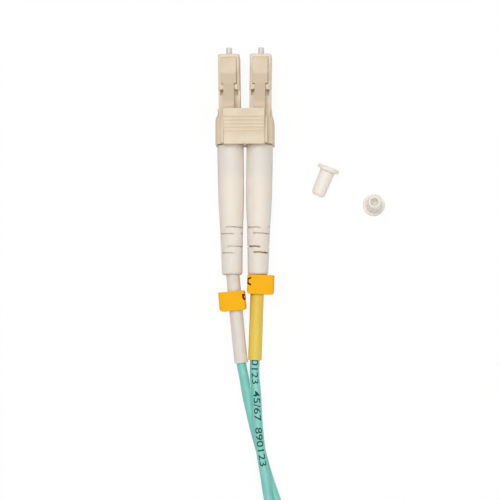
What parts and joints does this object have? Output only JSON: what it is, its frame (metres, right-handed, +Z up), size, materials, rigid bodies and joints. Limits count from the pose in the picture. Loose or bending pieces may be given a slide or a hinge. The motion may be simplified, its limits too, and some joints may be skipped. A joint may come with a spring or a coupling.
{
  "type": "fiber optic patch cord",
  "caption": "Duplex fibre patch cord: latched square plugs paired by a clip with a thumb trigger, long boots, sliding markers, coiled twin cord and loose ferrule caps.",
  "frame": {"origin": "centre of the near duplex clip's underside, on the table", "axes": "+Z up from the table, +Y along the near plugs towards their ferrule tips, +X to the right of the pair seen from above"},
  "size_m": [0.0735, 0.1489, 0.009],
  "materials": {
    "beige_plastic": "moulded beige plastic, satin",
    "ceramic": "polished white ceramic",
    "holder_metal": "plated metal",
    "crimp_metal": "plated soft metal",
    "spring_steel": "spring wire",
    "buffer_plastic": "tight buffer",
    "boot_rubber": "soft off-white boot",
    "marker_plastic": "orange moulded marker",
    "white_sleeve": "off-white tube",
    "yellow_sleeve": "yellow tube",
    "jacket_plastic": "aqua cable jacket",
    "cap_plastic": "cream-white soft cap"
  },
  "bodies": {
    "root": {"plug_housing_left": "beige_plastic", "rear_body_left": "beige_plastic", "buffered_fibre_left": "buffer_plastic", "crimp_ring_left": "crimp_metal", "boot_left": "boot_rubber", "ferrule_spring_left": "spring_steel", "cable_leg_left": "jacket_plastic", "sleeve_left": "white_sleeve", "plug_housing_right": "beige_plastic", "rear_body_right": "beige_plastic", "buffered_fibre_right": "buffer_plastic", "crimp_ring_right": "crimp_metal", "boot_right": "boot_rubber", "ferrule_spring_right": "spring_steel", "cable_leg_right": "jacket_plastic", "sleeve_right": "yellow_sleeve", "clip_body": "beige_plastic", "far_plug_housing_left": "beige_plastic", "far_rear_body_left": "beige_plastic", "far_buffered_fibre_left": "buffer_plastic", "far_crimp_ring_left": "crimp_metal", "far_boot_left": "boot_rubber", "far_ferrule_spring_left": "spring_steel", "far_cable_leg_left": "jacket_plastic", "far_sleeve_left": "white_sleeve", "far_plug_housing_right": "beige_plastic", "far_rear_body_right": "beige_plastic", "far_buffered_fibre_right": "buffer_plastic", "far_crimp_ring_right": "crimp_metal", "far_boot_right": "boot_rubber", "far_ferrule_spring_right": "spring_steel", "far_cable_leg_right": "jacket_plastic", "far_sleeve_right": "yellow_sleeve", "far_clip_body": "beige_plastic", "zipcord_coil": "jacket_plastic", "zipcord_near": "jacket_plastic", "zipcord_far": "jacket_plastic"},
    "ferrule_left": {"ferrule_left": "ceramic", "ferrule_holder_left": "holder_metal"},
    "latch_left": {"latch_left": "beige_plastic"},
    "marker_left": {"marker_left": "marker_plastic"},
    "ferrule_right": {"ferrule_right": "ceramic", "ferrule_holder_right": "holder_metal"},
    "latch_right": {"latch_right": "beige_plastic"},
    "marker_right": {"marker_right": "marker_plastic"},
    "clip_trigger": {"clip_trigger": "beige_plastic"},
    "far_ferrule_left": {"far_ferrule_left": "ceramic", "far_ferrule_holder_left": "holder_metal"},
    "far_latch_left": {"far_latch_left": "beige_plastic"},
    "far_marker_left": {"far_marker_left": "marker_plastic"},
    "far_ferrule_right": {"far_ferrule_right": "ceramic", "far_ferrule_holder_right": "holder_metal"},
    "far_latch_right": {"far_latch_right": "beige_plastic"},
    "far_marker_right": {"far_marker_right": "marker_plastic"},
    "far_clip_trigger": {"far_clip_trigger": "beige_plastic"},
    "dust_cap_standing": {"dust_cap_standing": "cap_plastic"},
    "dust_cap_lying": {"dust_cap_lying": "cap_plastic"}
  },
  "joints": [
    {"name": "ferrule_push_left", "type": "slide", "parent": "root", "child": "ferrule_left", "axis": [-0.0148, 0.9999, 0], "range_m": [-0.0008, 0], "stiffness_N_per_m": 1500, "deforming": ["ferrule_spring_left"]},
    {"name": "latch_press_left", "type": "hinge", "parent": "root", "child": "latch_left", "pos_m": [-0.00333, 0.0141, 0.00535], "axis": [0.9999, 0.0148, 0], "range_deg": [0, 5]},
    {"name": "marker_slide_left", "type": "slide", "parent": "root", "child": "marker_left", "axis": [-0.089, 0.995, 0.0455], "range_m": [-0.006, 0.0023]},
    {"name": "ferrule_push_right", "type": "slide", "parent": "root", "child": "ferrule_right", "axis": [0.0148, 0.9999, 0], "range_m": [-0.0008, 0], "stiffness_N_per_m": 1500, "deforming": ["ferrule_spring_right"]},
    {"name": "latch_press_right", "type": "hinge", "parent": "root", "child": "latch_right", "pos_m": [0.00333, 0.0141, 0.00535], "axis": [0.9999, -0.0148, 0], "range_deg": [0, 5]},
    {"name": "marker_slide_right", "type": "slide", "parent": "root", "child": "marker_right", "axis": [0.0363, 0.9983, 0.0452], "range_m": [-0.0045, 0]},
    {"name": "trigger_press", "type": "hinge", "parent": "root", "child": "clip_trigger", "pos_m": [0, -0.00315, 0.0064], "axis": [1, 0, 0], "range_deg": [-9.6, 0], "stiffness_Nm_per_rad": 0.1},
    {"name": "far_ferrule_push_left", "type": "slide", "parent": "root", "child": "far_ferrule_left", "axis": [-0.0148, 0.9999, 0], "range_m": [-0.0008, 0], "stiffness_N_per_m": 1500, "deforming": ["far_ferrule_spring_left"]},
    {"name": "far_latch_press_left", "type": "hinge", "parent": "root", "child": "far_latch_left", "pos_m": [0.05792, -0.0039, 0.00535], "axis": [0.9999, 0.0148, 0], "range_deg": [0, 5]},
    {"name": "far_marker_slide_left", "type": "slide", "parent": "root", "child": "far_marker_left", "axis": [-0.089, 0.995, 0.0455], "range_m": [-0.006, 0.0023]},
    {"name": "far_ferrule_push_right", "type": "slide", "parent": "root", "child": "far_ferrule_right", "axis": [0.0148, 0.9999, 0], "range_m": [-0.0008, 0], "stiffness_N_per_m": 1500, "deforming": ["far_ferrule_spring_right"]},
    {"name": "far_latch_press_right", "type": "hinge", "parent": "root", "child": "far_latch_right", "pos_m": [0.06458, -0.0039, 0.00535], "axis": [0.9999, -0.0148, 0], "range_deg": [0, 5]},
    {"name": "far_marker_slide_right", "type": "slide", "parent": "root", "child": "far_marker_right", "axis": [0.0363, 0.9983, 0.0452], "range_m": [-0.0045, 0]},
    {"name": "far_trigger_press", "type": "hinge", "parent": "root", "child": "far_clip_trigger", "pos_m": [0.06125, -0.02115, 0.0064], "axis": [1, 0, 0], "range_deg": [-9.6, 0], "stiffness_Nm_per_rad": 0.1},
    {"name": "cap_lift_standing", "type": "slide", "parent": "root", "child": "dust_cap_standing", "axis": [0, 0, 1], "range_m": [0, 0.02]},
    {"name": "cap_lift_lying", "type": "slide", "parent": "root", "child": "dust_cap_lying", "axis": [0, 0, 1], "range_m": [0, 0.02]}
  ],
  "couplings": [
    {"joint": "latch_press_left", "follows": "trigger_press", "ratio": -0.52},
    {"joint": "latch_press_right", "follows": "trigger_press", "ratio": -0.52},
    {"joint": "far_latch_press_left", "follows": "far_trigger_press", "ratio": -0.52},
    {"joint": "far_latch_press_right", "follows": "far_trigger_press", "ratio": -0.52}
  ]
}
